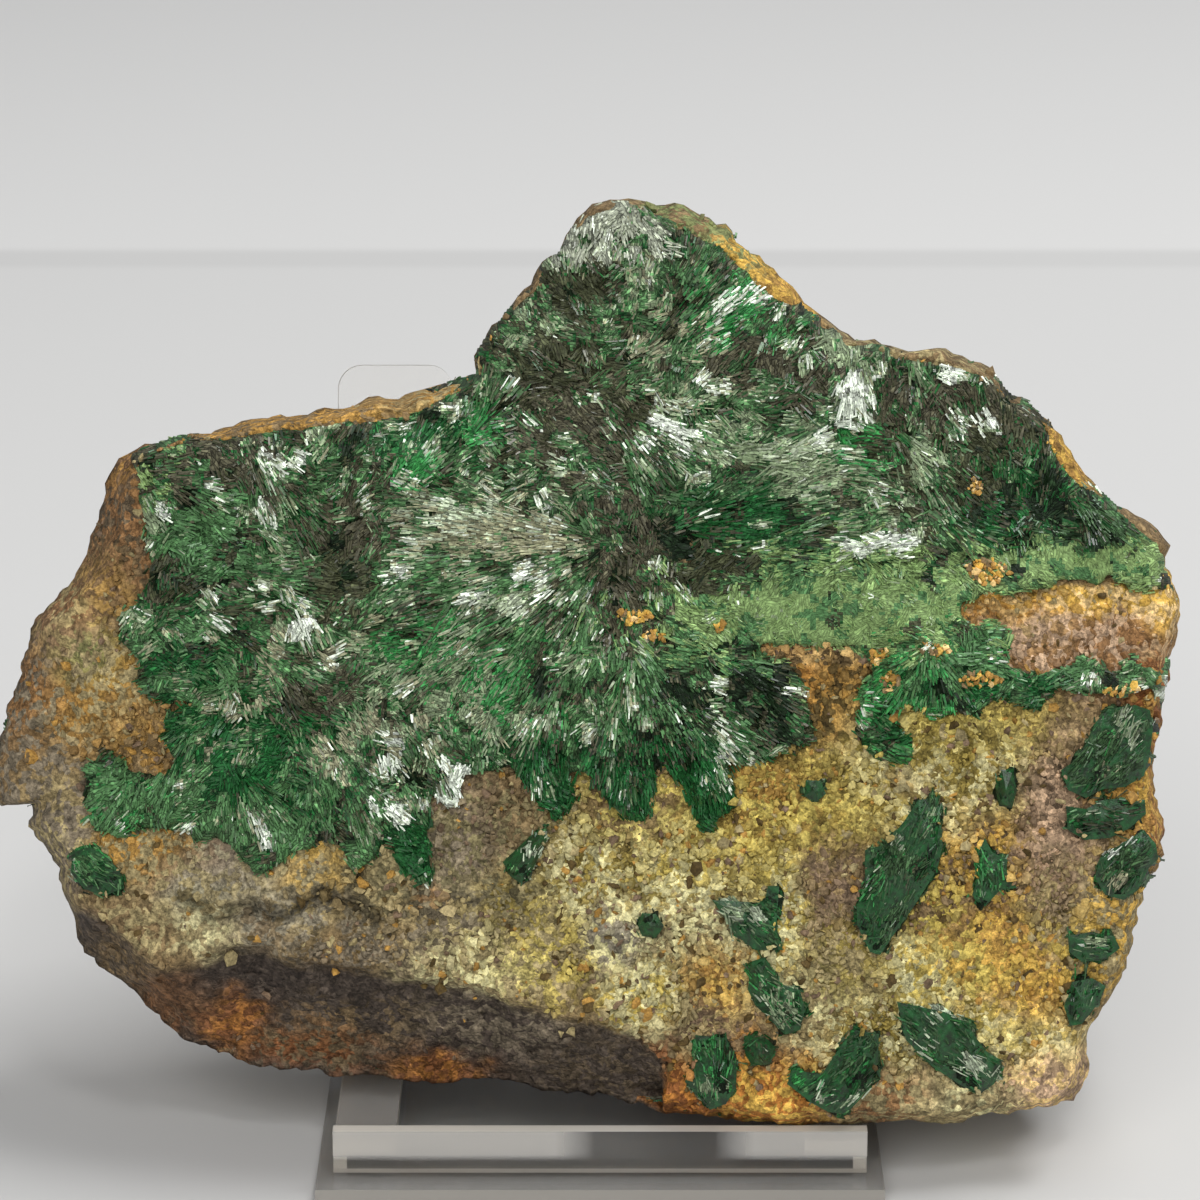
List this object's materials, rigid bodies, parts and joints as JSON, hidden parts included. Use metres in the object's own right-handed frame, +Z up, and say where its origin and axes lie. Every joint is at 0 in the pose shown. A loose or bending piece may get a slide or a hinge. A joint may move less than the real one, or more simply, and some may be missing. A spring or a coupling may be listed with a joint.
{
  "type": "atacamite specimen on matrix with clear stand",
  "caption": "Green acicular atacamite crust and crystal groups on iron-stained ochre rock, leaning on a clear plastic easel stand.",
  "frame": {"origin": "centre of the underside of the stand's base plate", "axes": "+Z up, +X to the right along the stone's length, -Y towards the viewer the crystal face looks at"},
  "size_m": [0.1221, 0.062, 0.0941],
  "materials": {
    "matrix_rock": "rough, granular, iron-stained",
    "atacamite": "vitreous crystal needles",
    "clear_acrylic": "polished clear sheet"
  },
  "bodies": {
    "root": {"matrix_rock": "matrix_rock", "atacamite_crust": "atacamite", "atacamite_left_lobe": "atacamite", "atacamite_small_leaf": "atacamite", "atacamite_spot": "atacamite", "atacamite_wedge": "atacamite", "atacamite_drop": "atacamite", "atacamite_long_blade": "atacamite", "atacamite_star": "atacamite", "atacamite_small_bud": "atacamite", "atacamite_round_bud": "atacamite", "atacamite_foot_group_left": "atacamite", "atacamite_foot_group_small": "atacamite", "atacamite_foot_group_forked": "atacamite", "atacamite_large_leaf": "atacamite", "atacamite_low_group_upper": "atacamite", "atacamite_low_group_lower": "atacamite", "atacamite_knob_upper": "atacamite", "atacamite_knob_middle": "atacamite", "atacamite_knob_lower": "atacamite", "stand_base": "clear_acrylic", "stand_front_rail": "clear_acrylic", "stand_arm_left": "clear_acrylic", "stand_arm_right": "clear_acrylic", "stand_foot_left": "clear_acrylic", "stand_foot_right": "clear_acrylic", "stand_upright_left": "clear_acrylic", "stand_upright_right": "clear_acrylic"}
  },
  "joints": []
}
